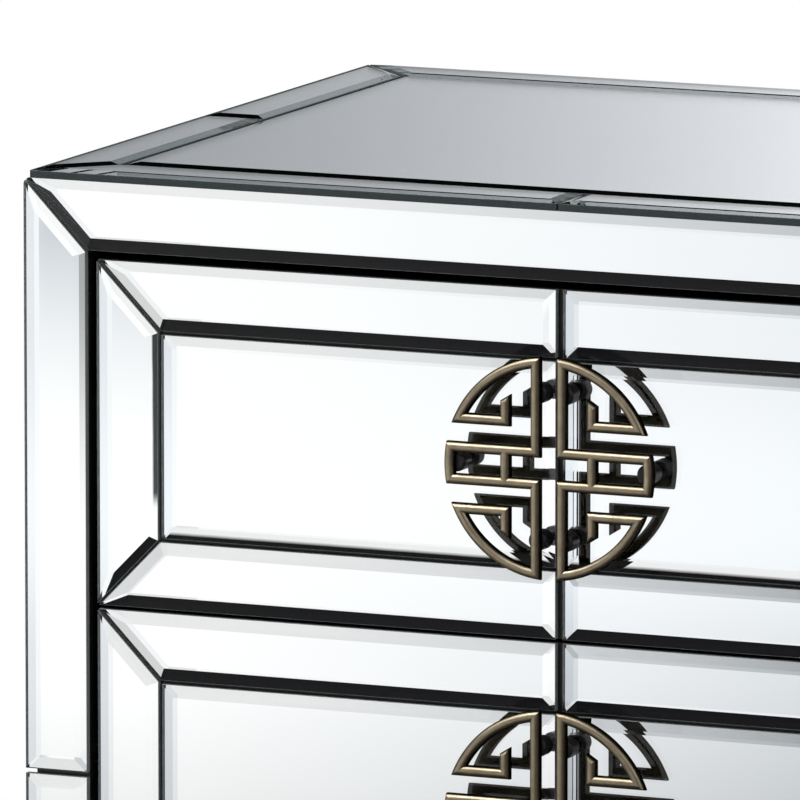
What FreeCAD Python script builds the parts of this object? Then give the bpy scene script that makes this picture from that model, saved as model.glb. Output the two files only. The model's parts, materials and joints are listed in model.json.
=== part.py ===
import FreeCAD, Part
import os
from math import radians, tan

# A mirrored three-drawer nightstand: a black lacquered board carcass, faced all
# round with bevelled mirror glass, and three drawers with half-round fret pulls.
# Millimetres. X runs across the front, -Y is the front, Z is up, and the origin
# is on the floor, at the middle of everything that the object covers.

# Overall size
width = 600.0                # across the front mirrors
depth = 438.0                # frame mirrors to the back of the back board
height = 650.0               # floor to the top mirror

# Mirror glass
glass = 5.0                  # thickness
bevel_width = 6.6            # polished bevel, measured across the face
bevel_drop = 1.25            # how far the bevel falls towards the edge
stile_strip = 35.1           # mirror strip on each upright of the front frame
rail_strip = 36.2            # mirror strip on each rail of the front frame
drawer_upright_strip = 35.6
drawer_level_strip = 36.2
top_strip = 36.0
side_strip = 36.0
seam = 2.0                   # between a strip and its panel
mitre_seam = 1.2             # between two strips at a corner
drawer_split_seam = 4.0      # between the two halves of a drawer's mirrors
stile_split_seam = 2.6
top_split_seam = 1.0
side_split_seam = 1.0
stile_seam_rise = 2.7        # seam in a stile above the middle of the frame
front_overhang = 3.6         # front mirrors past the side mirrors
top_setback = 1.0            # top mirror behind the front mirrors
frame_corner_radius = 4.0

# Carcass boards
side_board = 15.0
top_board_thickness = 18.0
bottom_board_thickness = 18.0
back_thickness = 6.0
frame_thickness = 18.0

# Feet
foot_radius = 24.0
foot_block_height = 13.2
foot_pad_radius = 22.0
foot_pad_height = 2.0
foot_inset = 46.0            # foot axis from the inside of the carcass sides and ends

# Drawers
drawer_count = 3
drawer_reveal = 5.0          # between the frame and a drawer front
drawer_gap = 2.1             # between two drawer fronts
drawer_recess = 3.0          # drawer mirrors behind the frame mirrors
drawer_board = 16.0
box_wall = 12.0
box_lift = 14.0              # underside of the box above the underside of the front
box_headroom = 28.0          # top of the box below the top of the front
box_back_clearance = 24.0    # back of the box to the back board
bottom_panel = 5.0
bottom_lift = 8.0            # underside of the panel above the underside of the box
groove_depth = 6.0
groove_play = 0.3

# Runners
runner_height = 45.0
runner_space = 12.7          # between the frame's edge and the drawer box
runner_steel = 1.2
runner_play = 0.4
runner_lip_clearance = 3.0   # outer and middle members short of the drawer box
runner_setback = 2.0         # behind the frame's back
runner_back_clearance = 19.0
packer_margin = 2.5          # packer above and below its runner
packer_back_clearance = 15.0

# Fret pulls
ring_diameter = 115.7
pull_gap = 8.8               # between the two halves
bar_width = 5.6
bar_height = 4.2
bar_round = 2.5              # rounding of the front edges of the bars
arm_opening = 11.0           # between the two rails of the arm
shelf_level = 23.4           # middle of the level bar above the arm
hook_place = 24.0            # middle of the hook from the pull's middle
hook_level = 35.7            # end of the hook above the pull's middle
hook_slant = 32.0            # degrees
stand_off = 10.5             # drawer glass to the back of the bars
post_radius = 5.2
post_round = 1.6             # rounding of both ends of a post
post_level = 38.0            # upper and lower post from the pull's middle

# Screws
screw_ease = 0.1             # round every screw
pull_screw_radius = 2.0
pull_screw_head_radius = 4.0
pull_screw_head = 2.6
pull_screw_bite = 6.0        # reach into the post
post_bore_spare = 1.0        # bore past the tip of the screw
glass_bore_ease = 0.6
carcass_screw_radius = 2.6
carcass_screw_head_radius = 5.0
carcass_screw_head = 3.0
carcass_screw_bite = 30.0
back_screw_radius = 1.75
back_screw_head_radius = 3.5
back_screw_head = 2.0
back_screw_bite = 14.0
back_screw_rows = 4
foot_screw_radius = 2.0
foot_screw_head_radius = 4.0
foot_screw_head = 2.5
foot_screw_bite = 12.0
screw_end_distance = 60.0    # first screw of a row from the end of its board

# Places worked out from the sizes above
foot_height = foot_block_height + foot_pad_height
pull_projection = stand_off + bar_height - drawer_recess
back_y = (depth + pull_projection) / 2
face_y = back_y - depth
frame_front_y = face_y + glass
frame_back_y = frame_front_y + frame_thickness
boards_back_y = back_y - back_thickness
drawer_glass_y = face_y + drawer_recess
drawer_board_y = drawer_glass_y + glass
box_front_y = drawer_board_y + drawer_board
box_back_y = boards_back_y - box_back_clearance
bars_y = drawer_glass_y - stand_off
top_z = height - glass
side_glass_x = width / 2 - front_overhang
carcass_x = side_glass_x - glass
inner_x = carcass_x - side_board
opening_x = width / 2 - stile_strip
box_x = opening_x - runner_space
front_half = opening_x - drawer_reveal
opening_low_z = foot_height + rail_strip
opening_high_z = top_z - rail_strip
stack_height = opening_high_z - opening_low_z - 2 * drawer_reveal
front_height = (stack_height - (drawer_count - 1) * drawer_gap) / drawer_count
box_height = front_height - box_lift - box_headroom


def vector(x, y, z):
    return FreeCAD.Vector(x, y, z)


def block(x, y, z):
    low = vector(x[0], y[0], z[0])
    return Part.makeBox(x[1] - x[0], y[1] - y[0], z[1] - z[0], low)


def flipped(shape):
    return shape.mirror(vector(0, 0, 0), vector(1, 0, 0))


def both_sides(shapes):
    return shapes + [flipped(shape) for shape in shapes]


def save(name, shapes):
    shape = shapes[0] if len(shapes) == 1 else Part.makeCompound(shapes)
    shape.exportStep(os.path.join("parts", name + ".step"))


def screw(head_radius, head, radius, length, at, into):
    # A screw and the hole that it needs, from the top of its head.
    cap = Part.makeCylinder(head_radius, head, at, into)
    solid = cap.fuse(Part.makeCylinder(radius, length, at, into))
    mouth = Part.makeCylinder(head_radius + screw_ease, head, at, into)
    hole = mouth.fuse(Part.makeCylinder(radius + screw_ease, length + screw_ease, at, into))
    return solid, hole


# Mirror panes

def inset(points, distances):
    # Moves each edge of a convex outline inwards by its own distance.
    moved = []
    for k, here in enumerate(points):
        entering = (here - points[k - 1]).normalize()
        leaving = (points[(k + 1) % len(points)] - here).normalize()
        first = vector(-entering.y, entering.x, 0)
        second = vector(-leaving.y, leaving.x, 0)
        shared = first.dot(second)
        before, after = distances[k - 1], distances[k]
        shift = first * (before - after * shared) + second * (after - before * shared)
        moved.append(here + shift * (1 / (1 - shared ** 2)))
    return moved


def pane(outline, trims, place):
    # A pane with a bevel all round. place puts a flat point, at a height above
    # the backing board, into the object.
    edge = inset(outline, trims)
    crown = inset(edge, [bevel_width] * len(edge))
    rings = [
        [place(point, 0) for point in edge],
        [place(point, glass - bevel_drop) for point in edge],
        [place(point, glass) for point in crown],
    ]
    loops = [rings[0], rings[2]]
    for low, high in zip(rings, rings[1:]):
        loops += [[low[k - 1], low[k], high[k], high[k - 1]] for k in range(len(low))]
    faces = [Part.Face(Part.makePolygon(loop + loop[:1])) for loop in loops]
    shell = Part.makeShell(faces)
    shell.sewShape()
    solid = Part.makeSolid(Part.Shell(shell.Faces))
    if solid.Volume < 0:
        solid.reverse()
    return solid


def rectangle(low, high):
    return [
        vector(low[0], low[1], 0),
        vector(high[0], low[1], 0),
        vector(high[0], high[1], 0),
        vector(low[0], high[1], 0),
    ]


def inside_strips(low, high, strip):
    return inset(rectangle(low, high), [strip[1], strip[0], strip[1], strip[0]])


def border(low, high, strip, split, split_seam, inner_trim, place, seam_rise=0.0):
    # Mitred strips round a rectangle: low edge, right, high edge, left. A side
    # that is split comes in two halves.
    end_trim, split_trim = mitre_seam / 2, split_seam / 2
    rise = vector(0, seam_rise, 0)
    outer = rectangle(low, high)
    inner = inside_strips(low, high, strip)
    strips = []
    for k in range(4):
        corners = [outer[k], outer[(k + 1) % 4], inner[(k + 1) % 4], inner[k]]
        if not split[k]:
            strips.append(pane(corners, [0, end_trim, inner_trim, end_trim], place))
            continue
        outer_middle = (corners[0] + corners[1]) * 0.5 + rise
        inner_middle = (corners[2] + corners[3]) * 0.5 + rise
        first = [corners[0], outer_middle, inner_middle, corners[3]]
        second = [outer_middle, corners[1], corners[2], inner_middle]
        strips.append(pane(first, [0, split_trim, inner_trim, end_trim], place))
        strips.append(pane(second, [0, end_trim, inner_trim, split_trim], place))
    return strips


# Where panes lie: on the top, the right side, the frame and the drawer fronts

def on_top(point, rise):
    return vector(point.x, point.y, top_z + rise)


def on_right(point, rise):
    return vector(carcass_x + rise, point.x, point.y)


def on_frame(point, rise):
    return vector(point.x, frame_front_y - rise, point.y)


def on_drawer(point, rise):
    return vector(point.x, drawer_board_y - rise, point.y)


def corner_rounding():
    # What comes off the four outer corners of the front frame.
    radius = frame_corner_radius
    glass_y = (face_y, frame_front_y)
    middle_x = width / 2 - radius
    tools = []
    for z, middle_z in ((foot_height, foot_height + radius), (top_z, top_z - radius)):
        corner = block((middle_x, width / 2), glass_y, (min(z, middle_z), max(z, middle_z)))
        disc = Part.makeCylinder(radius, glass, vector(middle_x, face_y, middle_z), vector(0, 1, 0))
        tools.append(corner.cut(disc))
    return both_sides(tools)


def make_carcass_mirrors():
    all_split = (True, True, True, True)
    low, high = (-side_glass_x, face_y + top_setback), (side_glass_x, back_y)
    strip = (top_strip, top_strip)
    save("top_border_mirrors", border(low, high, strip, all_split, top_split_seam, seam / 2, on_top))
    save("top_center_mirror", [pane(inside_strips(low, high, strip), [seam / 2] * 4, on_top)])

    low, high = (frame_front_y, foot_height), (back_y, top_z)
    strip = (side_strip, side_strip)
    side_border = border(low, high, strip, all_split, side_split_seam, seam / 2, on_right)
    side_center = pane(inside_strips(low, high, strip), [seam / 2] * 4, on_right)
    save("right_side_border_mirrors", side_border)
    save("right_side_center_mirror", [side_center])
    save("left_side_border_mirrors", [flipped(solid) for solid in side_border])
    save("left_side_center_mirror", [flipped(side_center)])

    low, high = (-width / 2, foot_height), (width / 2, top_z)
    uprights_split = (False, True, False, True)
    strip = (stile_strip, rail_strip)
    strips = border(low, high, strip, uprights_split, stile_split_seam, 0.0, on_frame, stile_seam_rise)
    rounding = corner_rounding()
    strips = [solid.cut(rounding) for solid in strips]
    save("rail_mirrors", [strips[0], strips[3]])
    save("stile_mirrors", [strips[1], strips[2], strips[4], strips[5]])


# Carcass

def back_board_screws():
    low, high = foot_height + screw_end_distance, top_z - screw_end_distance
    step = (high - low) / (back_screw_rows - 1)
    column = inner_x + side_board / 2
    places = [(side * column, low + row * step) for side in (-1, 1) for row in range(back_screw_rows)]
    places.append((0.0, foot_height + bottom_board_thickness / 2))
    places.append((0.0, top_z - top_board_thickness / 2))
    length = back_thickness + back_screw_bite
    return [
        screw(back_screw_head_radius, back_screw_head, back_screw_radius, length,
              vector(x, back_y, z), vector(0, -1, 0))
        for x, z in places
    ]


def right_carcass_screws():
    # Down through the top board into the side, and through the side into the
    # bottom board, near the front and near the back.
    down, inwards = vector(0, 0, -1), vector(-1, 0, 0)
    screws = []
    for y in (frame_back_y + screw_end_distance, boards_back_y - screw_end_distance):
        over_side = vector(inner_x + side_board / 2, y, top_z)
        beside_bottom = vector(carcass_x, y, foot_height + bottom_board_thickness / 2)
        for at, into, board in ((over_side, down, top_board_thickness), (beside_bottom, inwards, side_board)):
            screws.append(screw(carcass_screw_head_radius, carcass_screw_head, carcass_screw_radius,
                                board + carcass_screw_bite, at, into))
    return screws


def foot_places():
    ends = (frame_front_y + foot_inset, boards_back_y - foot_inset)
    return [vector(side * (inner_x - foot_inset), y, 0) for side in (-1, 1) for y in ends]


def make_feet():
    pad_top = vector(0, 0, foot_pad_height)
    length = foot_block_height + foot_screw_bite
    screws = [
        screw(foot_screw_head_radius, foot_screw_head, foot_screw_radius, length,
              place + pad_top, vector(0, 0, 1))
        for place in foot_places()
    ]
    holes = [hole for solid, hole in screws]
    blocks = [Part.makeCylinder(foot_radius, foot_block_height, place + pad_top) for place in foot_places()]
    pads = [Part.makeCylinder(foot_pad_radius, foot_pad_height, place) for place in foot_places()]
    save("foot_blocks", [solid.cut(holes) for solid in blocks])
    save("foot_pads", pads)
    save("foot_screws", [solid for solid, hole in screws])
    return holes


def make_carcass():
    back_screws = back_board_screws()
    right_screws = right_carcass_screws()
    save("back_board_screws", [solid for solid, hole in back_screws])
    save("carcass_screws", both_sides([solid for solid, hole in right_screws]))
    holes = make_feet()
    holes += [hole for solid, hole in back_screws]
    holes += both_sides([hole for solid, hole in right_screws])

    body_y = (frame_back_y, boards_back_y)
    under_top = top_z - top_board_thickness
    bottom_z = (foot_height, foot_height + bottom_board_thickness)
    right_side = block((inner_x, carcass_x), body_y, (foot_height, under_top))
    top_board = block((-carcass_x, carcass_x), body_y, (under_top, top_z))
    bottom_board = block((-inner_x, inner_x), body_y, bottom_z)
    back_board = block((-carcass_x, carcass_x), (boards_back_y, back_y), (foot_height, top_z))
    save("right_side_panel", [right_side.cut(holes)])
    save("left_side_panel", [flipped(right_side).cut(holes)])
    save("top_board", [top_board.cut(holes)])
    save("bottom_board", [bottom_board.cut(holes)])
    save("back_board", [back_board.cut(holes)])

    frame_y = (frame_front_y, frame_back_y)
    stile = block((opening_x, carcass_x), frame_y, (foot_height, top_z))
    low_rail = block((-opening_x, opening_x), frame_y, (foot_height, opening_low_z))
    high_rail = block((-opening_x, opening_x), frame_y, (opening_high_z, top_z))
    save("face_frame_stiles", both_sides([stile]))
    save("face_frame_rails", [low_rail, high_rail])


# Fret pulls. A pull is drawn about the middle of its ring, with the back of its
# bars on the plane y = 0.

def fret_bar(x, z):
    return block(x, (-bar_height, 0), z)


def fret_disc(radius):
    return Part.makeCylinder(radius, bar_height, vector(0, -bar_height, 0), vector(0, 1, 0))


def hook_bar(x, low_z):
    # An upright bar with a slanted end, longer towards the pull's middle.
    rise = tan(radians(hook_slant)) * bar_width / 2
    points = [
        vector(x[0], 0, low_z),
        vector(x[1], 0, low_z),
        vector(x[1], 0, hook_level + rise),
        vector(x[0], 0, hook_level - rise),
    ]
    face = Part.Face(Part.makePolygon(points + points[:1]))
    return face.extrude(vector(0, -bar_height, 0))


def left_pull():
    radius = ring_diameter / 2
    half = bar_width / 2
    near = -pull_gap / 2
    arm = (arm_opening / 2, arm_opening / 2 + bar_width)
    shelf = (shelf_level - half, shelf_level + half)
    hook = (-hook_place - half, -hook_place + half)
    rim = fret_disc(radius).cut(fret_disc(radius - bar_width))
    upper = [
        rim.common(fret_bar((-radius, near), (shelf[0], radius))),
        fret_bar((near - bar_width, near), (arm[0], radius)),
        fret_bar((-radius, near), arm),
        fret_bar((-radius, hook[1]), shelf),
        hook_bar(hook, shelf[0]),
    ]
    lower = [bar.mirror(vector(0, 0, 0), vector(0, 0, 1)) for bar in upper]
    arm_end = rim.common(fret_bar((-radius, 0), (-arm[1], arm[1])))
    tie = fret_bar(hook, (-arm[1], arm[1]))
    fret = arm_end.fuse(upper + lower + [tie]).common(fret_disc(radius)).removeSplitter()
    fret = fret.Solids[0]
    front_edges = [
        edge for edge in fret.Edges
        if abs(edge.BoundBox.YMin + bar_height) < screw_ease and edge.BoundBox.YLength < screw_ease
    ]
    return fret.makeFillet(min(bar_round, 0.45 * bar_width, 0.9 * bar_height), front_edges)


def post_places(middle_z):
    bar_x = (pull_gap + bar_width) / 2
    arm_x = ring_diameter / 2 - post_radius
    left = [(-bar_x, post_level), (-bar_x, -post_level), (-arm_x, 0.0)]
    places = [vector(x, 0, middle_z + z) for x, z in left]
    return places + [vector(-place.x, 0, place.z) for place in places]


def round_post():
    # A post that stands on the plane y = 0, with both ends rounded.
    post = Part.makeCylinder(post_radius, stand_off, vector(0, 0, 0), vector(0, -1, 0))
    rims = [edge for edge in post.Edges if edge.BoundBox.YLength < screw_ease]
    return post.makeFillet(min(post_round, 0.45 * stand_off, 0.5 * post_radius), rims)


def make_pulls(name, middle_z, pull):
    forwards, backwards = vector(0, -1, 0), vector(0, 1, 0)
    placed = pull.copy()
    placed.translate(vector(0, bars_y, middle_z))
    save(name + "_left_pull", [placed])
    save(name + "_right_pull", [flipped(placed)])
    length = pull_screw_head + drawer_board + glass + pull_screw_bite
    head_top = vector(0, box_front_y + pull_screw_head, 0)
    mouth = vector(0, drawer_glass_y, 0)
    posts, screws, holes, glass_bores = [], [], [], []
    for place in post_places(middle_z):
        solid, hole = screw(pull_screw_head_radius, pull_screw_head, pull_screw_radius, length,
                            place + head_top, forwards)
        screws.append(solid)
        holes.append(hole)
        bore_radius = pull_screw_radius + glass_bore_ease
        glass_bores.append(Part.makeCylinder(bore_radius, glass, place + mouth, backwards))
        post = round_post()
        post.translate(place + mouth)
        bore_depth = pull_screw_bite + post_bore_spare
        bore = Part.makeCylinder(pull_screw_radius + screw_ease, bore_depth, place + mouth, forwards)
        posts.append(post.cut(bore))
    save(name + "_pull_posts", posts)
    save(name + "_pull_screws", screws)
    return holes, glass_bores


# Drawers

def make_drawer_mirrors(name, low, high, bores):
    strip = (drawer_upright_strip, drawer_level_strip)
    levels_split = (True, False, True, False)
    strips = border(low, high, strip, levels_split, drawer_split_seam, seam / 2, on_drawer)
    save(name + "_border_mirrors", [solid.cut(bores) for solid in strips])
    middle = inside_strips(low, high, strip)
    low_middle, high_middle = vector(0, middle[0].y, 0), vector(0, middle[3].y, 0)
    left_half = [middle[0], low_middle, high_middle, middle[3]]
    left = pane(left_half, [seam / 2, drawer_split_seam / 2, seam / 2, seam / 2], on_drawer)
    save(name + "_center_mirrors", [solid.cut(bores) for solid in both_sides([left])])


def make_drawer(name, low_z, pull):
    high_z = low_z + front_height
    holes, glass_bores = make_pulls(name, (low_z + high_z) / 2, pull)
    make_drawer_mirrors(name, (-front_half, low_z), (front_half, high_z), glass_bores)

    box_z = (low_z + box_lift, low_z + box_lift + box_height)
    panel_z = (box_z[0] + bottom_lift, box_z[0] + bottom_lift + bottom_panel)
    clear_x = box_x - box_wall
    clear_back_y = box_back_y - box_wall
    reach = groove_depth - groove_play
    panel = block((-clear_x - reach, clear_x + reach), (box_front_y - reach, clear_back_y + reach), panel_z)
    groove_x = (-clear_x - groove_depth, clear_x + groove_depth)
    groove = block(groove_x, (box_front_y - groove_depth, clear_back_y + groove_depth), panel_z)
    board = block((-front_half, front_half), (drawer_board_y, box_front_y), (low_z, high_z))
    side = block((-box_x, -clear_x), (box_front_y, box_back_y), box_z)
    back = block((-clear_x, clear_x), (clear_back_y, box_back_y), box_z)
    save(name + "_front_board", [board.cut(holes + [groove])])
    save(name + "_box_sides", both_sides([side.cut(groove)]))
    save(name + "_box_back", [back.cut(groove)])
    save(name + "_bottom_panel", [panel])
    return (box_z[0] + box_z[1]) / 2


# Runners, drawn for the left-hand side

def runner_channel(x, level, tall, web_first):
    # A channel along Y. web_first puts its web at the low end of x.
    y = (frame_back_y + runner_setback, boards_back_y - runner_back_clearance)
    low, high = level - tall / 2, level + tall / 2
    web_x = (x[0], x[0] + runner_steel) if web_first else (x[1] - runner_steel, x[1])
    web = block(web_x, y, (low, high))
    flanges = [block(x, y, (low, low + runner_steel)), block(x, y, (high - runner_steel, high))]
    return web.fuse(flanges).removeSplitter()


def make_runners(name, level):
    nest = runner_steel + runner_play
    lip = -box_x - runner_lip_clearance
    outer = runner_channel((-opening_x, lip), level, runner_height, True)
    middle = runner_channel((-opening_x + nest, lip), level, runner_height - 2 * nest, True)
    inner = runner_channel((-opening_x + 2 * nest, -box_x), level, runner_height - 4 * nest, False)
    save(name + "_slide_outer", both_sides([outer]))
    save(name + "_slide_middle", both_sides([middle]))
    save(name + "_slide_inner", both_sides([inner]))


def make_packers(levels):
    y = (frame_back_y, boards_back_y - packer_back_clearance)
    half = runner_height / 2 + packer_margin
    packers = [block((opening_x, inner_x), y, (level - half, level + half)) for level in levels]
    save("runner_packers", both_sides(packers))


def main():
    os.makedirs("parts", exist_ok=True)
    make_carcass()
    make_carcass_mirrors()
    pull = left_pull()
    levels = []
    for k in range(drawer_count):
        name = "drawer_" + str(k + 1)
        low_z = opening_high_z - drawer_reveal - front_height - k * (front_height + drawer_gap)
        levels.append(make_drawer(name, low_z, pull))
        make_runners(name, levels[-1])
    make_packers(levels)


main()
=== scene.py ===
import json
from math import copysign, cos, radians, sin

import bmesh
import bpy
from mathutils import Matrix, Vector

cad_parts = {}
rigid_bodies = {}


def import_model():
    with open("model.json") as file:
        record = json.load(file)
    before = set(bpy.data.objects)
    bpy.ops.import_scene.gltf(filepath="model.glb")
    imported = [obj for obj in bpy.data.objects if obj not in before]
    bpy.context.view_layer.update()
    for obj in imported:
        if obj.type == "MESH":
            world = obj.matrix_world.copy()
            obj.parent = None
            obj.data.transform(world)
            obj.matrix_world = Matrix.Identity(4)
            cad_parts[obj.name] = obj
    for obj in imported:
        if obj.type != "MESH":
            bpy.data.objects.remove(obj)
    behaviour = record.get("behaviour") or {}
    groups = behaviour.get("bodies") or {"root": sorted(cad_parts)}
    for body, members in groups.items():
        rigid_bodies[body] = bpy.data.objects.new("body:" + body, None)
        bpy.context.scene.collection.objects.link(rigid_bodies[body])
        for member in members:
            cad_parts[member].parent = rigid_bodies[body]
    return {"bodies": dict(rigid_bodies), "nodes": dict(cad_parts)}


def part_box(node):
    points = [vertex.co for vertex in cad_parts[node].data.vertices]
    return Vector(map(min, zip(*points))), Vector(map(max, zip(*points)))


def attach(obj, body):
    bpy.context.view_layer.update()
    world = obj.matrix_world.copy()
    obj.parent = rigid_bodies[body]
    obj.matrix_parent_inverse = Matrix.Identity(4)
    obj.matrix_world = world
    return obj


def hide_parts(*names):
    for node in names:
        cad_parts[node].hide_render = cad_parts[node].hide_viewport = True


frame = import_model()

# Mirrored nightstand: bevelled mirror panes over the black carcass, and brass fret pulls.

scene = bpy.context.scene
nodes = frame["nodes"]
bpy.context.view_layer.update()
drawers = sorted(name for name in frame["bodies"] if name.startswith("drawer_"))


# Camera: a long lens from the right, a little above the top
cameraView = {
    "azimuth": 23.56,
    "elevation": 9.19,
    "distance": 7.24,
    "lens": 638.2,
    "clipEnd": 60,
    "pullOffRight": 0.0808,   # the upper pull is this far right of the picture's middle
    "pullOffDown": 0.0335,
}


def addCamera(view):
    azimuth, elevation = radians(view["azimuth"]), radians(view["elevation"])
    right = Vector((cos(azimuth), sin(azimuth), 0))
    back = Vector((sin(azimuth) * cos(elevation), -cos(azimuth) * cos(elevation), sin(elevation)))
    up = back.cross(right)
    low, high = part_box("drawer_1_border_mirrors")
    pullMiddle = Vector((0, low.y, (low.z + high.z) / 2))
    aim = pullMiddle - right * view["pullOffRight"] + up * view["pullOffDown"]
    camera = bpy.data.objects.new("photo_camera", bpy.data.cameras.new("photo_camera"))
    camera.data.lens = view["lens"]
    camera.data.clip_end = view["clipEnd"]
    camera.location = aim + back * view["distance"]
    camera.rotation_mode = "QUATERNION"
    camera.rotation_quaternion = (-back).to_track_quat("-Z", "Y")
    scene.collection.objects.link(camera)
    scene.camera = camera


addCamera(cameraView)
print("camera placed")


# Node helpers

def setInputs(node, values):
    for key, value in values.items():
        node.inputs[key].default_value = value


def addNode(tree, kind, values={}, **settings):
    node = tree.nodes.new(kind)
    for key, value in settings.items():
        setattr(node, key, value)
    setInputs(node, values)
    return node


def newMaterial(name, values):
    material = bpy.data.materials.new(name)
    material.use_nodes = True
    tree = material.node_tree
    shader = tree.nodes["Principled BSDF"]
    setInputs(shader, values)
    return material, tree, shader


def newGroup(name, inputs, outputs):
    group = bpy.data.node_groups.new(name, "ShaderNodeTree")
    for label, kind, value in inputs:
        socket = group.interface.new_socket(label, in_out="INPUT", socket_type=kind)
        socket.default_value = value
    for label, kind in outputs:
        group.interface.new_socket(label, in_out="OUTPUT", socket_type=kind)
    return group, group.nodes.new("NodeGroupInput"), group.nodes.new("NodeGroupOutput")


def placeGroup(tree, group, values):
    node = tree.nodes.new("ShaderNodeGroup")
    node.node_tree = group
    setInputs(node, values)
    return node


def link(tree, source, sink):
    tree.links.new(source, sink)


def mixColors(tree, mask, first, second):
    mix = addNode(tree, "ShaderNodeMix", data_type="RGBA")
    mix.inputs[6].default_value = first
    mix.inputs[7].default_value = second
    link(tree, mask, mix.inputs[0])
    return mix.outputs[2]


def mapRange(tree, source, ends, values, smooth=False):
    kind = "SMOOTHSTEP" if smooth else "LINEAR"
    node = addNode(tree, "ShaderNodeMapRange", interpolation_type=kind)
    setInputs(node, {"From Min": ends[0], "From Max": ends[1], "To Min": values[0], "To Max": values[1]})
    link(tree, source, node.inputs["Value"])
    return node.outputs["Result"]


def doMath(tree, operation, first, second):
    node = addNode(tree, "ShaderNodeMath", operation=operation)
    for socket, value in zip(node.inputs, (first, second)):
        if isinstance(value, (int, float)):
            socket.default_value = value
        else:
            link(tree, value, socket)
    return node.outputs[0]


def doVector(tree, operation, first, second=None):
    node = addNode(tree, "ShaderNodeVectorMath", operation=operation)
    link(tree, first, node.inputs[0])
    if second is not None:
        node.inputs[1].default_value = second
    return node.outputs["Value" if operation in ("LENGTH", "DOT_PRODUCT") else "Vector"]


# Stage: pale floor, soft lamps, and what the mirrors look at

stageLook = {
    "floorRadius": 20.0,
    "floorColor": (0.80, 0.80, 0.80, 1),
    "floorRoughness": 0.9,
    "nearFloor": 0.5,         # inside this radius the floor shows the shadow
    "farFloor": 1.1,          # outside this one it is white
    "ambient": 0.40,
    "white": (1, 1, 1, 1),
}

# How metal and lacquer show the room, a painted reflection that only glossy rays see
roomLook = {
    "lightFrom": (-0.62, -0.62, 0.48),       # its bright side
    "spread": 3.0,
    "bright": 1.9,
    "least": 0.04,
    "metalHeight": 0.5,                      # the floor's tone is taken as seen from here
    "floorReach": (1.2, 2.2),                # and is lower near the object, a painted shade
    "nearShare": 0.45,
    "paintedDarkRise": (0.25, 0.55),                # the room is painted dark below this slope
    "paintedDarkShare": 0.08,
}

# How the mirrors show the floor, which glows for them with painted tones: a painted reflection
mirrorFloor = {
    "brightWay": (-0.616, -0.788, 0.0),      # brightest this way, and white
    "brightFan": (0.90, 0.985),
    "brightReach": (1.85, 2.4),
    "brightTones": (0.88, 1.08),
    "cool": (0.90, 0.95, 1.0, 1),            # bluish elsewhere, and lighter away from the object: painted shade near it
    "coolReach": (1.5, 3.0),
    "coolTones": (0.41, 0.78),
    "ringRise": (2.4, 2.9),                  # with a painted lighter ring
    "ringFall": (3.1, 3.9),
    "ringTone": 0.2,
    "darkBandAway": (-0.6424, -0.7663, 0.0),    # a painted dark band lies this way
    "darkBandAcross": (0.7663, -0.6424, 0.0),
    "darkBandSides": (-0.0527, 0.12),
    "darkBandSoft": (0.0008, 0.05),
    "darkBandNear": (3.10, 3.18),
    "shadeWide": 0.02,                       # and painted shade to the left of it
    "shadeReach": (2.9, 4.3),
    "shadeDeep": 0.62,
    "greyCool": 3.0,                         # a grey patch is bluer by this much
}

# Painted shade: greyer patches of the floor, which the upright strips at the left and their right bevels
# show
greyPatches = [
    {"across": (0.9094, -0.4159, 0.0), "sides": (-0.24, -0.104),
     "fade": (-3.01, -3.93), "mitreAt": 0.397},
    {"across": (0.8545, -0.5195, 0.0), "sides": (-0.15, -0.055),
     "fade": (-2.84, -3.71), "mitreAt": 1.0},
]
patchLook = {"mitre": (0.8484, -0.5293, 0.0), "grey": 0.33, "soft": 0.004, "curve": 1.4}

# A glowing card, a painted reflection that only mirrors and metal see
backCard = {
    "distance": 2.6,
    "size": (9.0, 3.4),
    "left": (0.353, 0.368, 0.387, 1),
    "right": (1.092, 1.104, 1.146, 1),
    "across": (-1.75, -0.85),                # grows from left to right between these
    "acrossCurve": 2.3,
    "past": (-0.7, 0.6),                     # and falls to a share of it past the middle
    "pastShare": 0.5,
    "rise": (0.62, 1.02),                    # painted dark below these heights
    "riseLeast": 0.55,
    "riseCurve": 4.0,
    "darkPatchSides": (-2.2, 0.3),                # a dark patch is painted on part of the card
    "darkPatchSoft": 0.3,
    "darkPatchLow": (1.11, 1.72),
    "darkPatchHigh": (2.6, 3.0),
    "darkPatchDepth": 0.98,
    "darkPatchInGlass": 0.75,                     # the silver shows this share of the painted dark
    "darkPatchTint": (0.90, 1.0, 0.95, 1),        # painted greenish, as thick glass would tint it
}
# Glowing cards, painted reflections that only mirrors and metal see
glowCards = {
    "low_glow_card": {"distance": 5.0, "size": (0.20, 0.586), "turn": -17.0, "glow": 0.72},
    "side_glow_card": {"distance": 5.3, "size": (0.34, 0.53), "turn": -27.0, "glow": 0.85},
}
# A glowing strip, a painted reflection
glowStrip = {
    "distance": 5.2,
    "size": (0.73, 0.07),
    "turn": -22.4,
    "lift": 0.63,
    "slope": (0.046, 0, 1),
    "lowEdge": (0.5682, 0.5713),             # heights along the slope where it grows light
    "highEdge": (0.579, 0.583),              # and dark again
    "glow": 0.95,
}

lamps = {
    "key_lamp": {"place": (-1.6, -1.7, 3.3), "size": 1.5, "watts": 60},
    "fill_lamp": {"place": (2.8, -2.2, 2.0), "size": 2.0, "watts": 20},
    "top_lamp": {"place": (0.2, 1.2, 3.4), "size": 2.4, "watts": 40},
}
lampsAim = (0, 0, 0.4)

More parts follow.
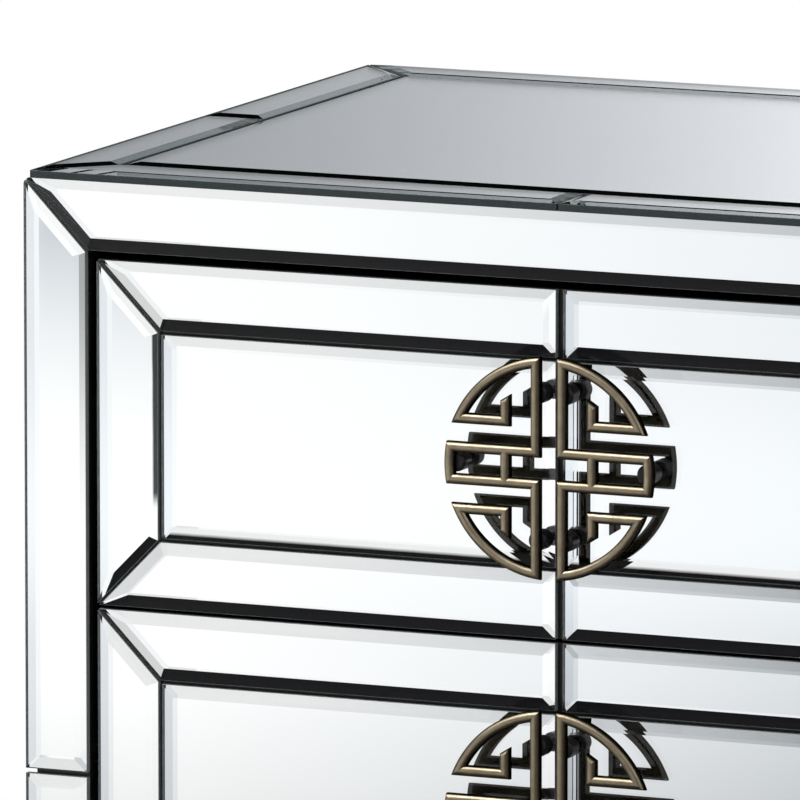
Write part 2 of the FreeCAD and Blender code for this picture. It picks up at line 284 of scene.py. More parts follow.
# How the mirrors show the sky, a painted reflection that only rays through the glass see: dark in front of
# the object, grey behind it and overhead
skyLook = {
    "low": (0.10, (0.004, 0.004, 0.005, 1)),
    "steps": ((0.30, 0.04), (0.62, 0.12), (0.80, 0.34)),
    "top": (1.0, (0.55, 0.56, 0.58, 1)),
    "bluer": 1.03,
    "behind": (0.58, 0.59, 0.62, 1),
    "behindLow": (0.02, 0.2),
    "behindHigh": (0.6, 0.8),
    "behindSides": (-0.35, 0.35),
}


def studioTone(look):
    # How bright the room is in a direction, as metal and lacquer show it: a painted reflection tone
    group, start, end = newGroup("studio_tone", [("Direction", "NodeSocketVector", (0, 0, 1))],
                                 [("Tone", "NodeSocketFloat")])
    along = doVector(group, "NORMALIZE", start.outputs["Direction"])
    facing = doVector(group, "DOT_PRODUCT", along, look["lightFrom"])
    share = doMath(group, "POWER", doMath(group, "MAXIMUM", facing, 0.0), look["spread"])
    tone = doMath(group, "MULTIPLY_ADD", share, look["bright"])
    tone.node.inputs[2].default_value = look["least"]
    link(group, tone, end.inputs["Tone"])
    return group


def greyedFloor(tree, patch, look, place):
    # Painted shade, greyest farthest away, and cut off along the line of the mitres
    soft = look["soft"]
    across = doVector(tree, "DOT_PRODUCT", place, patch["across"])
    past = doVector(tree, "DOT_PRODUCT", place, look["mitre"])
    away = doVector(tree, "DOT_PRODUCT", place, (0, 1, 0))
    left, right = patch["sides"]
    inside = doMath(tree, "MULTIPLY", mapRange(tree, across, (left - soft, left + soft), (0, 1)),
                    mapRange(tree, across, (right - soft, right + soft), (1, 0)))
    below = mapRange(tree, past, (patch["mitreAt"] - soft, patch["mitreAt"] + soft), (1, 0))
    fade = doMath(tree, "POWER", mapRange(tree, away, patch["fade"], (0, 1)), look["curve"])
    share = doMath(tree, "MULTIPLY", doMath(tree, "MULTIPLY", inside, below), fade)
    return doMath(tree, "MULTIPLY", share, look["grey"])


def floorTone(tree, look, toLeft, distance):
    tone = addNode(tree, "ShaderNodeMix", data_type="FLOAT")
    ring = doMath(tree, "MULTIPLY", mapRange(tree, distance, look["ringRise"], (0, look["ringTone"]), True),
                  mapRange(tree, distance, look["ringFall"], (1, 0), True))
    cool = mapRange(tree, distance, look["coolReach"], look["coolTones"])
    link(tree, toLeft, tone.inputs[0])
    link(tree, doMath(tree, "ADD", cool, ring), tone.inputs[2])
    link(tree, mapRange(tree, distance, look["brightReach"], look["brightTones"]), tone.inputs[3])
    return tone.outputs[0]


def paintedFloorShade(tree, look, place):
    # A painted dark band on the floor, and painted shade to the left of it
    along = doVector(tree, "DOT_PRODUCT", place, look["darkBandAway"])
    across = doVector(tree, "DOT_PRODUCT", place, look["darkBandAcross"])
    left, right = look["darkBandSides"]
    softLeft, softRight = look["darkBandSoft"]
    inside = doMath(tree, "MULTIPLY",
                    mapRange(tree, across, (left - softLeft, left + softLeft), (0, 1), True),
                    mapRange(tree, across, (right, right + softRight), (1, 0), True))
    darkBand = doMath(tree, "MULTIPLY", inside, mapRange(tree, along, look["darkBandNear"], (0, 1), True))
    shade = doMath(tree, "MULTIPLY", mapRange(tree, across, (left - look["shadeWide"], left), (1, 0), True),
                   mapRange(tree, along, look["shadeReach"], (0, look["shadeDeep"]), True))
    return doMath(tree, "ADD", darkBand, shade)


def mirroredFloor(tree, look, place, distance):
    # A painted reflection: how bright the mirrors show the floor, and its colour
    facing = doVector(tree, "DOT_PRODUCT", doVector(tree, "NORMALIZE", place), look["brightWay"])
    toLeft = mapRange(tree, facing, look["brightFan"], (0, 1))
    tone = floorTone(tree, look, toLeft, distance)
    patches = [greyedFloor(tree, patch, patchLook, place) for patch in greyPatches]
    grey = doMath(tree, "MAXIMUM", *patches)
    dark = doMath(tree, "ADD", paintedFloorShade(tree, look, place), grey)
    whiter = doMath(tree, "SUBTRACT", toLeft, doMath(tree, "MULTIPLY", grey, look["greyCool"]))
    strength = doMath(tree, "MULTIPLY", tone, doMath(tree, "SUBTRACT", 1.0, dark))
    return strength, mixColors(tree, whiter, look["cool"], stageLook["white"])


def addFloor(look, room, toneGroup):
    bm = bmesh.new()
    bmesh.ops.create_circle(bm, cap_ends=True, segments=96, radius=look["floorRadius"])
    floor = bpy.data.objects.new("floor", bpy.data.meshes.new("floor"))
    bm.to_mesh(floor.data)
    bm.free()
    scene.collection.objects.link(floor)
    material, tree, shader = newMaterial("pale_floor", {
        "Base Color": look["floorColor"], "Roughness": look["floorRoughness"]})
    path = addNode(tree, "ShaderNodeLightPath")
    camera, glossy = path.outputs["Is Camera Ray"], path.outputs["Is Glossy Ray"]
    through = path.outputs["Is Transmission Ray"]
    place = addNode(tree, "ShaderNodeTexCoord").outputs["Object"]
    distance = doVector(tree, "LENGTH", place)
    tone = placeGroup(tree, toneGroup, {})
    link(tree, doVector(tree, "SUBTRACT", place, (0, 0, room["metalHeight"])), tone.inputs["Direction"])
    # Mirror rays see the floor glow with painted tones, a painted reflection
    mirrored, tint = mirroredFloor(tree, mirrorFloor, place, distance)
    inGlass = doMath(tree, "MULTIPLY", through, mirrored)
    bounced = doMath(tree, "MAXIMUM", doMath(tree, "SUBTRACT", glossy, through), 0.0)
    # Painted shade: metal sees the floor darker near the object
    reach = mapRange(tree, distance, room["floorReach"], (room["nearShare"], 1.0), True)
    onMetal = doMath(tree, "MULTIPLY", bounced, doMath(tree, "MULTIPLY", tone.outputs["Tone"], reach))
    glow = doMath(tree, "ADD", camera, doMath(tree, "ADD", inGlass, onMetal))
    seen = doMath(tree, "MAXIMUM", camera, through)
    far = mapRange(tree, distance, (look["nearFloor"], look["farFloor"]), (0, 1), True)
    white = addNode(tree, "ShaderNodeEmission")
    color = addNode(tree, "ShaderNodeMix", data_type="RGBA")
    color.inputs[6].default_value = look["white"]
    link(tree, through, color.inputs[0])
    link(tree, tint, color.inputs[7])
    link(tree, color.outputs[2], white.inputs["Color"])
    link(tree, glow, white.inputs["Strength"])
    mix = addNode(tree, "ShaderNodeMixShader")
    link(tree, doMath(tree, "MAXIMUM", doMath(tree, "MULTIPLY", far, seen), bounced), mix.inputs[0])
    link(tree, shader.outputs[0], mix.inputs[1])
    link(tree, white.outputs[0], mix.inputs[2])
    link(tree, mix.outputs[0], tree.nodes["Material Output"].inputs["Surface"])
    floor.data.materials.append(material)


def addCard(name, size, turn, distance, lift=0.0):
    # An upright glowing card that only mirrors and metal show, a painted reflection
    bm = bmesh.new()
    bmesh.ops.create_grid(bm, x_segments=1, y_segments=1, size=0.5)
    bmesh.ops.scale(bm, vec=(size[0], size[1], 1), verts=bm.verts)
    bmesh.ops.rotate(bm, verts=bm.verts, matrix=Matrix.Rotation(radians(90), 3, "X"))
    bmesh.ops.translate(bm, verts=bm.verts, vec=(0, distance, lift + size[1] / 2))
    bmesh.ops.rotate(bm, verts=bm.verts, matrix=Matrix.Rotation(radians(turn), 3, "Z"))
    card = bpy.data.objects.new(name, bpy.data.meshes.new(name))
    bm.to_mesh(card.data)
    bm.free()
    scene.collection.objects.link(card)
    material = bpy.data.materials.new(name)
    material.use_nodes = True
    tree = material.node_tree
    tree.nodes.remove(tree.nodes["Principled BSDF"])
    glow = addNode(tree, "ShaderNodeEmission")
    link(tree, glow.outputs[0], tree.nodes["Material Output"].inputs["Surface"])
    card.data.materials.append(material)
    card.visible_camera = False
    card.visible_diffuse = False
    card.visible_shadow = False
    return tree, glow


def addBackCard(card):
    # A painted reflection: grey, and lighter to the right, where the top mirror shows it, with a painted
    # dark patch
    tree, glow = addCard("back_card", card["size"], 0, card["distance"])
    axes = addNode(tree, "ShaderNodeSeparateXYZ")
    link(tree, addNode(tree, "ShaderNodeTexCoord").outputs["Object"], axes.inputs[0])
    x, z = axes.outputs["X"], axes.outputs["Z"]
    across = doMath(tree, "POWER", mapRange(tree, x, card["across"], (0, 1)), card["acrossCurve"])
    grey = mixColors(tree, across, card["left"], card["right"])
    left, right = card["darkPatchSides"]
    soft = card["darkPatchSoft"]
    inside = doMath(tree, "MULTIPLY", mapRange(tree, x, (left - soft, left), (0, 1), True),
                    mapRange(tree, x, (right, right + soft), (1, 0), True))
    darkPatch = doMath(tree, "MULTIPLY", mapRange(tree, z, card["darkPatchLow"], (0, card["darkPatchDepth"]), True),
                  mapRange(tree, z, card["darkPatchHigh"], (1, 0), True))
    inDarkPatch = doMath(tree, "MULTIPLY", inside, darkPatch)
    tinted = addNode(tree, "ShaderNodeMix", data_type="RGBA", blend_type="MULTIPLY")
    link(tree, inDarkPatch, tinted.inputs[0])
    link(tree, grey, tinted.inputs[6])
    tinted.inputs[7].default_value = card["darkPatchTint"]
    link(tree, tinted.outputs[2], glow.inputs["Color"])
    path = addNode(tree, "ShaderNodeLightPath")
    depth = mapRange(tree, path.outputs["Is Transmission Ray"], (0, 1), (1, card["darkPatchInGlass"]))
    shade = doMath(tree, "SUBTRACT", 1.0, doMath(tree, "MULTIPLY", depth, inDarkPatch))
    rise = mapRange(tree, z, card["rise"], (card["riseLeast"], 1.0))
    rise = doMath(tree, "POWER", rise, card["riseCurve"])
    past = mapRange(tree, x, card["past"], (1, card["pastShare"]), True)
    lit = doMath(tree, "MULTIPLY", doMath(tree, "MULTIPLY", rise, past), shade)
    link(tree, lit, glow.inputs["Strength"])


def addGlowCards(paintedRoom):
    for name, glowCard in paintedRoom.items():
        tree, glow = addCard(name, glowCard["size"], 180 + glowCard["turn"], glowCard["distance"])
        glow.inputs["Strength"].default_value = glowCard["glow"]


def addGlowStrip(card):
    # A narrow glowing strip that slopes a little, a painted reflection
    tree, glow = addCard("glowStrip", card["size"], 180 + card["turn"], card["distance"], card["lift"])
    place = addNode(tree, "ShaderNodeTexCoord").outputs["Object"]
    height = doVector(tree, "DOT_PRODUCT", place, card["slope"])
    strength = doMath(tree, "MULTIPLY", mapRange(tree, height, card["lowEdge"], (0, card["glow"])),
                      mapRange(tree, height, card["highEdge"], (1, 0)))
    link(tree, strength, glow.inputs["Strength"])


def addLamps(lamps, aim):
    for name, lamp in lamps.items():
        data = bpy.data.lights.new(name, "AREA")
        data.shape = "SQUARE"
        data.size = lamp["size"]
        data.energy = lamp["watts"]
        light = bpy.data.objects.new(name, data)
        light.location = lamp["place"]
        towards = Vector(aim) - light.location
        light.rotation_mode = "QUATERNION"
        light.rotation_quaternion = towards.to_track_quat("-Z", "Y")
        light.visible_transmission = False   # the mirrors show no lamp
        scene.collection.objects.link(light)


def mirroredSky(tree, look, direction):
    axes = addNode(tree, "ShaderNodeSeparateXYZ")
    link(tree, direction, axes.inputs[0])
    z = axes.outputs["Z"]
    ramp = addNode(tree, "ShaderNodeValToRGB")
    stops = ramp.color_ramp.elements
    stops[0].position, stops[0].color = look["low"]
    stops[1].position, stops[1].color = look["top"]
    for position, grey in look["steps"]:
        stops.new(position).color = (grey, grey, grey * look["bluer"], 1)
    link(tree, z, ramp.inputs[0])
    behind = addNode(tree, "ShaderNodeMix", data_type="RGBA")
    behind.inputs[7].default_value = look["behind"]
    high = doMath(tree, "MULTIPLY", mapRange(tree, z, look["behindLow"], (0, 1), True),
                  mapRange(tree, z, look["behindHigh"], (1, 0), True))
    rear = mapRange(tree, axes.outputs["Y"], look["behindSides"], (0, 1), True)
    link(tree, doMath(tree, "MULTIPLY", high, rear), behind.inputs[0])
    link(tree, ramp.outputs[0], behind.inputs[6])
    return behind.outputs[2]


def addWorld(look, room, toneGroup):
    world = bpy.data.worlds.new("studio")
    world.use_nodes = True
    scene.world = world
    tree = world.node_tree
    tree.nodes.clear()
    path = addNode(tree, "ShaderNodeLightPath")
    direction = addNode(tree, "ShaderNodeTexCoord").outputs["Generated"]
    tone = placeGroup(tree, toneGroup, {})
    link(tree, direction, tone.inputs["Direction"])
    ambient, white, paintedRoom, sky = (addNode(tree, "ShaderNodeBackground") for k in range(4))
    setInputs(ambient, {"Color": look["white"], "Strength": look["ambient"]})
    setInputs(white, {"Color": look["white"], "Strength": 1.0})
    axes = addNode(tree, "ShaderNodeSeparateXYZ")
    link(tree, direction, axes.inputs[0])
    # What metal shows of the room is painted dark low down
    high = mapRange(tree, axes.outputs["Z"], room["paintedDarkRise"], (room["paintedDarkShare"], 1.0), True)
    link(tree, doMath(tree, "MULTIPLY", tone.outputs["Tone"], high), paintedRoom.inputs["Strength"])
    link(tree, mirroredSky(tree, skyLook, direction), sky.inputs["Color"])
    shown = ambient.outputs[0]
    for kind, share in (("Is Glossy Ray", paintedRoom), ("Is Transmission Ray", sky), ("Is Camera Ray", white)):
        mix = addNode(tree, "ShaderNodeMixShader")
        link(tree, path.outputs[kind], mix.inputs[0])
        link(tree, shown, mix.inputs[1])
        link(tree, share.outputs[0], mix.inputs[2])
        shown = mix.outputs[0]
    link(tree, shown, addNode(tree, "ShaderNodeOutputWorld").inputs["Surface"])


roomTone = studioTone(roomLook)
addFloor(stageLook, roomLook, roomTone)
addBackCard(backCard)
addGlowCards(glowCards)
addGlowStrip(glowStrip)
addLamps(lamps, lampsAim)
addWorld(stageLook, roomLook, roomTone)
scene.view_settings.view_transform = "Standard"
scene.cycles.max_bounces = 24             # light runs a long way inside a mirror pane
scene.cycles.glossy_bounces = 16
scene.cycles.transmission_bounces = 24
print("stage ready")


# Mirror panes
mirrorSizes = {
    "bevelWidth": 0.0066,
    "bevelDrop": 0.00125,
    "seam": 0.002,
    "mitreSeam": 0.0012,
    "splitSeam": {"top": 0.001, "side": 0.001, "frame": 0.0026, "drawer": 0.004},
    "stileSeamRise": 0.0027,  # above the middle of the frame
    "backGap": 0.0001,        # adhesive, keeps the silver off the board
    "arris": 0.0002,
    "steepBelow": 0.5,        # a face whose normal rises less than this is an upright side
    "flatAbove": 0.9,
    "cornerRadius": 0.004,
    "cornerCuts": (9, 27, 45, 63, 81),
    "strip": {"top": (0.036, 0.036), "side": (0.036, 0.036),
              "frame": (0.0351, 0.0362), "drawer": (0.0356, 0.0362)},
}

facings = {
    "top": ((1, 0, 0), (0, 1, 0), (0, 0, 1)),
    "right": ((0, 1, 0), (0, 0, 1), (1, 0, 0)),
    "left": ((0, -1, 0), (0, 0, 1), (-1, 0, 0)),
    "front": ((1, 0, 0), (0, 0, 1), (0, -1, 0)),
}


def everything(bm):
    return bm.verts[:] + bm.edges[:] + bm.faces[:]


def flatSheet(half):
    bm = bmesh.new()
    bmesh.ops.create_grid(bm, x_segments=1, y_segments=1, size=1)
    bmesh.ops.scale(bm, vec=(half[0], half[1], 1), verts=bm.verts)
    return bm


def flatBorder(half, strip):
    # Four mitred strips round a rectangle
    bm = flatSheet(half)
    hole = bm.faces[:][0]
    bmesh.ops.inset_region(bm, faces=[hole], thickness=strip[0], use_boundary=True, use_even_offset=True)
    for vert in hole.verts:
        for axis in (0, 1):
            vert.co[axis] = copysign(half[axis] - strip[axis], vert.co[axis])
    bmesh.ops.delete(bm, geom=[hole], context="FACES_ONLY")
    return bm


def splitPanes(bm, across, seam, splitSeam, rise):
    # Parts the sheet at its middle lines and leaves a seam round every pane
    for axis in across:
        normal = [0, 0, 0]
        normal[axis] = 1
        bmesh.ops.bisect_plane(bm, geom=everything(bm), plane_co=(0, rise, 0), plane_no=normal)
    inset = bmesh.ops.inset_individual(bm, faces=bm.faces[:], thickness=seam / 2, use_even_offset=True)
    bmesh.ops.delete(bm, geom=inset["faces"], context="FACES")
    for vert in bm.verts:
        for axis in across:
            off = vert.co[axis] - rise * axis
            if abs(off) < seam:
                vert.co[axis] = rise * axis + copysign(splitSeam / 2, off)


def thickenPanes(bm, glass, sizes):
    bmesh.ops.translate(bm, verts=bm.verts, vec=(0, 0, sizes["backGap"]))
    made = bmesh.ops.extrude_face_region(bm, geom=bm.faces[:], use_keep_orig=True)["geom"]
    fronts = [item for item in made if isinstance(item, bmesh.types.BMFace)]
    verts = [item for item in made if isinstance(item, bmesh.types.BMVert)]
    bmesh.ops.translate(bm, verts=verts, vec=(0, 0, glass - sizes["bevelDrop"] - sizes["backGap"]))
    bmesh.ops.inset_individual(bm, faces=fronts, thickness=sizes["bevelWidth"],
                               depth=sizes["bevelDrop"], use_even_offset=True)
    bmesh.ops.recalc_face_normals(bm, faces=bm.faces)


def roundCorners(bm, half, sizes):
    # Takes the tips off at the four outer corners, one flat at a time
    radius = sizes["cornerRadius"]
    for sideX in (-1, 1):
        for sideY in (-1, 1):
            middle = Vector((sideX * (half[0] - radius), sideY * (half[1] - radius), 0))
            for angle in sizes["cornerCuts"]:
                out = Vector((sideX * cos(radians(angle)), sideY * sin(radians(angle)), 0))
                cut = bmesh.ops.bisect_plane(bm, geom=everything(bm), plane_co=middle + out * radius,
                                             plane_no=out, clear_outer=True)["geom_cut"]
                edges = [item for item in cut if isinstance(item, bmesh.types.BMEdge)]
                bmesh.ops.holes_fill(bm, edges=edges)
    bmesh.ops.recalc_face_normals(bm, faces=bm.faces)


def softenArris(bm, sizes):
    # The edges between a pane's bevels and its upright sides
    tilt = sizes["steepBelow"]
    rims = []
    for edge in bm.edges:
        steep = [abs(face.normal.z) < tilt for face in edge.link_faces]
        facing = [face.normal.z > tilt for face in edge.link_faces]
        if any(steep) and any(facing):
            rims.append(edge)
    bmesh.ops.bevel(bm, geom=rims, offset=sizes["arris"], offset_type="OFFSET", segments=1,
                    profile=0.5, affect="EDGES", material=-1)


def finishPanes(name, bm, facing, origin, finish, body, replaced):
    for face in bm.faces:
        face.material_index = 0
        if abs(face.normal.z) < mirrorSizes["flatAbove"]:
            face.material_index = 1
        elif face.normal.z < 0:
            face.material_index = 2
    columns = [Vector(column) for column in facings[facing]]
    turn = Matrix(columns).transposed().to_4x4()
    bmesh.ops.transform(bm, matrix=Matrix.Translation(origin) @ turn, verts=bm.verts)
    mesh = bpy.data.meshes.new(name)
    bm.to_mesh(mesh)
    bm.free()
    panes = bpy.data.objects.new(name, mesh)
    scene.collection.objects.link(panes)
    for material in finish:
        mesh.materials.append(material)
    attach(panes, body)
    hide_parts(*replaced)


def paneFrame(facing, box):
    # Half sizes of the rectangle, the glass thickness, and the middle of its back
    low, high = box
    middle = (low + high) / 2
    size = high - low
    across, along, out = (Vector(column) for column in facings[facing])
    half = (abs(size.dot(across)) / 2, abs(size.dot(along)) / 2)
    glass = abs(size.dot(out))
    return half, glass, middle - out * glass / 2


def addBorder(name, facing, kind, splits, finish, body, replaced, box=None, rise=0):
    sizes = mirrorSizes
    half, glass, origin = paneFrame(facing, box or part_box(replaced[0]))
    strip, mitre = sizes["strip"][kind], sizes["mitreSeam"]
    inner = 0 if kind == "frame" else sizes["seam"] / 2
    grown = (half[0] + mitre / 2, half[1] + mitre / 2)   # splitPanes takes half a mitre seam off all round
    bm = flatBorder(grown, (strip[0] - inner + mitre, strip[1] - inner + mitre))
    splitPanes(bm, splits, mitre, sizes["splitSeam"][kind], rise)
    thickenPanes(bm, glass, sizes)
    if kind == "frame":
        roundCorners(bm, half, sizes)
    softenArris(bm, sizes)
    finishPanes(name, bm, facing, origin, finish, body, replaced)


def addCenter(name, facing, kind, splits, finish, body, replaced):
    sizes = mirrorSizes
    half, glass, origin = paneFrame(facing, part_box(replaced[0]))
    bm = flatSheet((half[0] + sizes["seam"] / 2, half[1] + sizes["seam"] / 2))
    splitPanes(bm, splits, sizes["seam"], sizes["splitSeam"][kind], 0)
    thickenPanes(bm, glass, sizes)
    softenArris(bm, sizes)
    finishPanes(name, bm, facing, origin, finish, body, replaced)


# Patterns that several finishes share

noiseLook = {"detail": 4.0, "roughness": 0.55, "span": (0.3, 0.7)}


def noiseGroup(look):
    # Cloudy noise on the piece, stretched and brought between two values
    group, start, end = newGroup("surface_noise", [
        ("Scale", "NodeSocketFloat", 10.0), ("Stretch", "NodeSocketVector", (1, 1, 1)),
        ("Low", "NodeSocketFloat", 0.0), ("High", "NodeSocketFloat", 1.0)], [("Mask", "NodeSocketFloat")])
    place = addNode(group, "ShaderNodeTexCoord").outputs["Object"]
    stretched = addNode(group, "ShaderNodeVectorMath", operation="MULTIPLY")
    link(group, place, stretched.inputs[0])
    link(group, start.outputs["Stretch"], stretched.inputs[1])
    noise = addNode(group, "ShaderNodeTexNoise", {"Detail": look["detail"], "Roughness": look["roughness"]})
    link(group, stretched.outputs[0], noise.inputs["Vector"])
    link(group, start.outputs["Scale"], noise.inputs["Scale"])
    low, high = look["span"]
    spread = addNode(group, "ShaderNodeMapRange", {"From Min": low, "From Max": high})
    link(group, noise.outputs[0], spread.inputs["Value"])
    link(group, start.outputs["Low"], spread.inputs["To Min"])
    link(group, start.outputs["High"], spread.inputs["To Max"])
    link(group, spread.outputs["Result"], end.inputs["Mask"])
    return group


surfaceNoise = noiseGroup(noiseLook)


def addNoise(tree, scale, low=0.0, high=1.0, stretch=(1, 1, 1)):
    node = placeGroup(tree, surfaceNoise, {"Scale": scale, "Low": low, "High": high, "Stretch": stretch})
    return node.outputs["Mask"]


def cloudColor(tree, shader, mask, first, second):
    link(tree, mixColors(tree, mask, first, second), shader.inputs["Base Color"])


def cloudGloss(tree, shader, scale, span, stretch=(1, 1, 1)):
    link(tree, addNoise(tree, scale, *span, stretch), shader.inputs["Roughness"])


def addBump(tree, shader, height, distance):
    bump = addNode(tree, "ShaderNodeBump", {"Strength": 1.0, "Distance": distance})
    link(tree, height, bump.inputs["Height"])
    link(tree, bump.outputs[0], shader.inputs["Normal"])


# Finishes of the panes

glassLook = {
    "clear": (0.992, 0.998, 0.997, 1),
    "faint": (0.982, 0.996, 0.992, 1),
    "cloud": 3.0,
    "ior": 1.52,
    "wave": 6.0,
    "waveHeight": 0.000004,
}


def mirrorGlass(look):
    material, tree, shader = newMaterial("mirror_glass", {
        "IOR": look["ior"], "Transmission Weight": 1.0, "Roughness": 0.0})
    cloudColor(tree, shader, addNoise(tree, look["cloud"]), look["clear"], look["faint"])
    addBump(tree, shader, addNoise(tree, look["wave"]), look["waveHeight"])
    return material


# The body's silver is a darker copy of the front silver, painted shade: it takes more of the light at each
# bounce, which darkens its bevels
silverCloud = 5.0
frontSilverLook = {"bright": (0.985, 0.988, 0.992, 1), "cloudy": (0.965, 0.972, 0.974, 1)}
bodySilverLook = {"bright": (0.926, 0.938, 0.941, 1), "cloudy": (0.914, 0.926, 0.929, 1)}


def silverBacking(name, look):
    material, tree, shader = newMaterial(name, {"Metallic": 1.0, "Roughness": 0.0})
    cloudColor(tree, shader, addNoise(tree, silverCloud), look["bright"], look["cloudy"])
    return material


edgeGrain = {"grit": 1200.0, "gritHeight": 0.00002, "glossCloud": 300.0, "gloss": (0.35, 0.55)}
# The front panes' edges are paler than the body's: partly ground glass, partly painted light
groundAndLitEdgeLook = {
    "dark": (0.17, 0.19, 0.19, 1),
    "pale": (0.27, 0.29, 0.29, 1),
    "inside": (0.020, 0.030, 0.030, 1),
}
polishedEdgeLook = {
    "dark": (0.018, 0.028, 0.030, 1),
    "pale": (0.036, 0.050, 0.052, 1),
    "inside": (0.012, 0.020, 0.021, 1),
}


def glassEdge(name, look, grain):
    # Gritty from outside, dark green where it shows through the glass
    material, tree, shader = newMaterial(name, {})
    grit = addNoise(tree, grain["grit"])
    mix = addNode(tree, "ShaderNodeMix", data_type="RGBA")
    link(tree, addNode(tree, "ShaderNodeNewGeometry").outputs["Backfacing"], mix.inputs[0])
    link(tree, mixColors(tree, grit, look["dark"], look["pale"]), mix.inputs[6])
    mix.inputs[7].default_value = look["inside"]
    link(tree, mix.outputs[2], shader.inputs["Base Color"])
    cloudGloss(tree, shader, grain["glossCloud"], grain["gloss"])
    addBump(tree, shader, grit, grain["gritHeight"])
    return material


clearGlass = mirrorGlass(glassLook)
frontFinish = [clearGlass, glassEdge("ground_and_lit_edge", groundAndLitEdgeLook, edgeGrain),
               silverBacking("front_silver", frontSilverLook)]
bodyFinish = [clearGlass, glassEdge("polished_edge", polishedEdgeLook, edgeGrain),
              silverBacking("body_silver", bodySilverLook)]


def addMirrors():
    addBorder("top_border_panes", "top", "top", (0, 1), bodyFinish, "carcass", ["top_border_mirrors"])
    addCenter("top_center_pane", "top", "top", (), bodyFinish, "carcass", ["top_center_mirror"])
    for side in ("left", "right"):
        addBorder(side + "_side_border_panes", side, "side", (0, 1), bodyFinish, "carcass",
                  [side + "_side_border_mirrors"])
        addCenter(side + "_side_center_pane", side, "side", (), bodyFinish, "carcass",
                  [side + "_side_center_mirror"])
    stileLow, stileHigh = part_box("stile_mirrors")
    railLow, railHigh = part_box("rail_mirrors")
    low = Vector((stileLow.x, stileLow.y, railLow.z))
    high = Vector((stileHigh.x, stileHigh.y, railHigh.z))
    addBorder("front_frame_panes", "front", "frame", (1,), frontFinish, "carcass",
              ["rail_mirrors", "stile_mirrors"], (low, high), mirrorSizes["stileSeamRise"])
    for drawer in drawers:
        addBorder(drawer + "_border_panes", "front", "drawer", (0,), frontFinish, drawer,
                  [drawer + "_border_mirrors"])
        addCenter(drawer + "_center_panes", "front", "drawer", (0,), frontFinish, drawer,
                  [drawer + "_center_mirrors"])


addMirrors()
print("mirrors made")


# Finishes of the CAD pieces

lacquerLook = {
    "deep": (0.010, 0.010, 0.011, 1),
    "worn": (0.017, 0.016, 0.016, 1),
    "cloud": 9.0,
    "gloss": (0.24, 0.36),
    "glossCloud": 24.0,
    "peel": 420.0,
    "peelHeight": 0.000015,
}


def lacquerFinish(look):
    material, tree, shader = newMaterial("black_lacquer", {})
    cloudColor(tree, shader, addNoise(tree, look["cloud"]), look["deep"], look["worn"])
    cloudGloss(tree, shader, look["glossCloud"], look["gloss"])
    addBump(tree, shader, addNoise(tree, look["peel"]), look["peelHeight"])
    return material


woodLook = {
    "light": (0.62, 0.475, 0.315, 1),
    "dark": (0.47, 0.335, 0.205, 1),
    "pore": (0.36, 0.25, 0.15, 1),
    "along": {"x": (0.05, 1, 1), "y": (1, 0.05, 1)},
    "grain": 55.0,
    "pores": 420.0,
    "poreSpan": (-1.2, 1.0),
    "poreHeight": -0.00004,
    "gloss": (0.38, 0.55),
    "glossCloud": 30.0,
}


def woodFinish(name, look, along):
    material, tree, shader = newMaterial(name, {})
    stretch = look["along"][along]
    grain = addNoise(tree, look["grain"], stretch=stretch)
    pores = addNoise(tree, look["pores"], *look["poreSpan"], stretch)
    mix = addNode(tree, "ShaderNodeMix", data_type="RGBA")
    link(tree, pores, mix.inputs[0])
    link(tree, mixColors(tree, grain, look["light"], look["dark"]), mix.inputs[6])
    mix.inputs[7].default_value = look["pore"]
    link(tree, mix.outputs[2], shader.inputs["Base Color"])
    cloudGloss(tree, shader, look["glossCloud"], look["gloss"], stretch)
    addBump(tree, shader, pores, look["poreHeight"])
    return material


brassLook = {
    "rubbed": (0.59, 0.495, 0.345, 1),
    "patinaAndShade": (0.032, 0.027, 0.019, 1),
    # painted shade: darkens the metal's reflections at its rims
    "rim": (0.20, 0.17, 0.12, 1),
    "crest": 0.0002,          # rubbed from this far behind the front
    "shoulder": 0.0013,       # and patina with painted shade from here on
    "rubCloud": 160.0,
    "rubSpan": (0.72, 1.0),
    "gloss": (0.32, 0.46),
    "glossCloud": 90.0,
    "grain": 1400.0,
    "grainHeight": 0.00002,
}


def brassFinish(look, front):
    # Dark patina and painted shade behind the fronts of the bars, rubbed back to the metal along their
    # raised fronts
    material, tree, shader = newMaterial("antique_brass", {"Metallic": 1.0, "Specular Tint": look["rim"]})
    axes = addNode(tree, "ShaderNodeSeparateXYZ")
    link(tree, addNode(tree, "ShaderNodeTexCoord").outputs["Object"], axes.inputs[0])
    raised = mapRange(tree, axes.outputs["Y"], (front + look["crest"], front + look["shoulder"]), (1, 0))
    rubbed = doMath(tree, "MULTIPLY", raised, addNoise(tree, look["rubCloud"], *look["rubSpan"]))
    cloudColor(tree, shader, rubbed, look["patinaAndShade"], look["rubbed"])
    cloudGloss(tree, shader, look["glossCloud"], look["gloss"])
    addBump(tree, shader, addNoise(tree, look["grain"]), look["grainHeight"])
    return material


postLook = {
    "dark": (0.008, 0.008, 0.009, 1),
    "pale": (0.020, 0.019, 0.018, 1),
    "cloud": 350.0,
    "gloss": (0.30, 0.45),
    "glossCloud": 200.0,
    "grain": 1500.0,
    "grainHeight": 0.00002,
}


def postFinish(look):
    material, tree, shader = newMaterial("black_metal", {})
    cloudColor(tree, shader, addNoise(tree, look["cloud"]), look["dark"], look["pale"])
    cloudGloss(tree, shader, look["glossCloud"], look["gloss"])
    addBump(tree, shader, addNoise(tree, look["grain"]), look["grainHeight"])
    return material


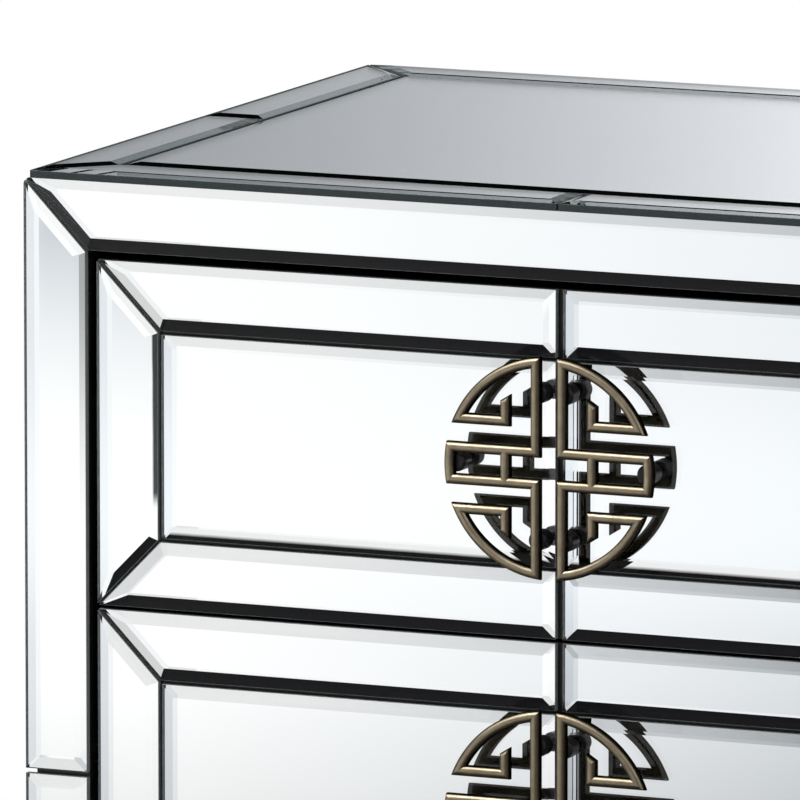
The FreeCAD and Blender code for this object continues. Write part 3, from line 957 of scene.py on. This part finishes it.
zincLook = {
    "bright": (0.80, 0.81, 0.83, 1),
    "dull": (0.66, 0.67, 0.69, 1),
    "cloud": 45.0,
    "gloss": (0.40, 0.54),
    "glossCloud": 130.0,
    "drawn": 700.0,
    "drawnAlong": (1, 0.02, 1),
    "drawnHeight": 0.000006,
}


def zincFinish(look):
    # Cloudy plating over fine lines along the runners
    material, tree, shader = newMaterial("zinc_steel", {"Metallic": 1.0})
    cloudColor(tree, shader, addNoise(tree, look["cloud"]), look["bright"], look["dull"])
    cloudGloss(tree, shader, look["glossCloud"], look["gloss"])
    addBump(tree, shader, addNoise(tree, look["drawn"], stretch=look["drawnAlong"]), look["drawnHeight"])
    return material


glideLook = {
    "dark": (0.035, 0.035, 0.036, 1),
    "pale": (0.065, 0.065, 0.064, 1),
    "gloss": (0.45, 0.62),
    "glossCloud": 120.0,
    "grain": 900.0,
    "grainHeight": 0.00003,
}


def glideFinish(look):
    material, tree, shader = newMaterial("glide_plastic", {})
    grain = addNoise(tree, look["grain"])
    cloudColor(tree, shader, grain, look["dark"], look["pale"])
    cloudGloss(tree, shader, look["glossCloud"], look["gloss"])
    addBump(tree, shader, grain, look["grainHeight"])
    return material


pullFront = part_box(drawers[0] + "_left_pull")[0].y
finishOf = {
    "lacquer": lacquerFinish(lacquerLook),
    "sideWood": woodFinish("drawer_wood_lengthwise", woodLook, "y"),
    "crossWood": woodFinish("drawer_wood_crosswise", woodLook, "x"),
    "brass": brassFinish(brassLook, pullFront),
    "post": postFinish(postLook),
    "zinc": zincFinish(zincLook),
    "glide": glideFinish(glideLook),
}

# The first word here that a node's name holds decides its finish
finishRules = [
    ("pull_posts", "post"), ("screws", "zinc"), ("_slide_", "zinc"), ("_pull", "brass"),
    ("box_sides", "sideWood"), ("box_back", "crossWood"), ("bottom_panel", "crossWood"),
    ("foot_pads", "glide"), ("", "lacquer"),
]


def finishNode(name):
    finish = finishOf[next(finish for word, finish in finishRules if word in name)]
    for slot in nodes[name].material_slots:
        slot.link = "OBJECT"
        slot.material = finish


for name in nodes:
    if "mirror" not in name:
        finishNode(name)
print("finishes set")
